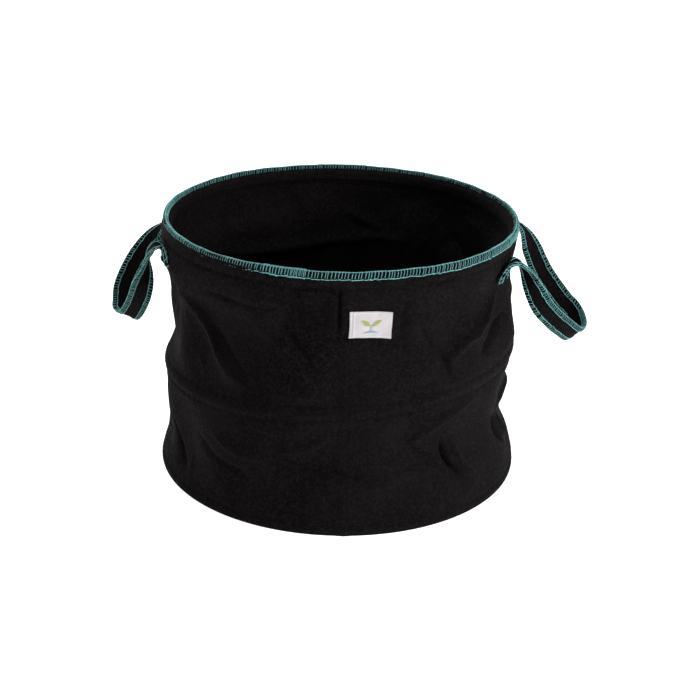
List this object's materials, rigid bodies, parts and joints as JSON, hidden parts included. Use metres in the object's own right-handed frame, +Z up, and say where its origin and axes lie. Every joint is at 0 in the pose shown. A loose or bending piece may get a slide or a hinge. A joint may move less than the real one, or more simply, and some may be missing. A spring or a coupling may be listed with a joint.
{
  "type": "fabric grow bag",
  "caption": "Round collapsible felt plant bag held open by sewn-in wire hoops, open at the top, with a flat base and a strap handle on each side.",
  "frame": {"origin": "centre of the underside of the base, on the ground", "axes": "+Z up, +X towards the right handle, -Y towards the front with the seam and label"},
  "size_m": [0.5602, 0.4132, 0.3011],
  "materials": {
    "felt": "matte black non-woven felt",
    "felt_strip": "matte black non-woven felt",
    "black_thread": "satin black polyester thread",
    "turquoise_thread": "satin turquoise polyester thread",
    "label_cloth": "woven white label cloth",
    "label_thread": "satin pale thread",
    "spring_wire": "drawn spring steel",
    "ferrule": "crimped aluminium"
  },
  "bodies": {
    "base": {"base_disc": "felt", "base_hoop": "spring_wire", "base_ferrule": "ferrule", "base_casing": "felt_strip", "base_stitches": "black_thread", "wall_panel": "felt", "seam_thread": "black_thread", "seam_patch": "felt_strip", "patch_thread": "black_thread", "label": "label_cloth", "label_thread": "label_thread"},
    "mid_ring": {"mid_hoop": "spring_wire", "mid_ferrule": "ferrule", "mid_casing": "felt_strip", "mid_stitches": "black_thread"},
    "rim": {"rim_hoop": "spring_wire", "rim_ferrule": "ferrule", "rim_facing": "felt_strip", "rim_stitches": "black_thread", "rim_overlock": "turquoise_thread", "left_handle_ends": "felt_strip", "left_end_edging": "turquoise_thread", "left_end_tacks": "black_thread", "right_handle_ends": "felt_strip", "right_end_edging": "turquoise_thread", "right_end_tacks": "black_thread"},
    "left_handle": {"left_handle_loop": "felt_strip", "left_handle_edging": "turquoise_thread"},
    "right_handle": {"right_handle_loop": "felt_strip", "right_handle_edging": "turquoise_thread"}
  },
  "joints": [
    {"name": "rim_collapse", "type": "slide", "parent": "base", "child": "rim", "axis": [0, 0, 1], "range_m": [-0.24, 0], "deforming": ["wall_panel", "seam_thread", "seam_patch", "patch_thread", "label", "label_thread", "base_casing", "mid_casing", "mid_stitches", "rim_facing"]},
    {"name": "mid_collapse", "type": "slide", "parent": "base", "child": "mid_ring", "axis": [0, 0, 1], "range_m": [-0.1125, 0]},
    {"name": "right_handle_swing", "type": "hinge", "parent": "rim", "child": "right_handle", "pos_m": [0.20356, 0, 0.268], "axis": [0, 1, 0], "range_deg": [-154, 21]},
    {"name": "left_handle_swing", "type": "hinge", "parent": "rim", "child": "left_handle", "pos_m": [-0.20356, 0, 0.268], "axis": [0, -1, 0], "range_deg": [-160, 15]}
  ],
  "couplings": [
    {"joint": "mid_collapse", "follows": "rim_collapse", "ratio": 0.46667}
  ]
}
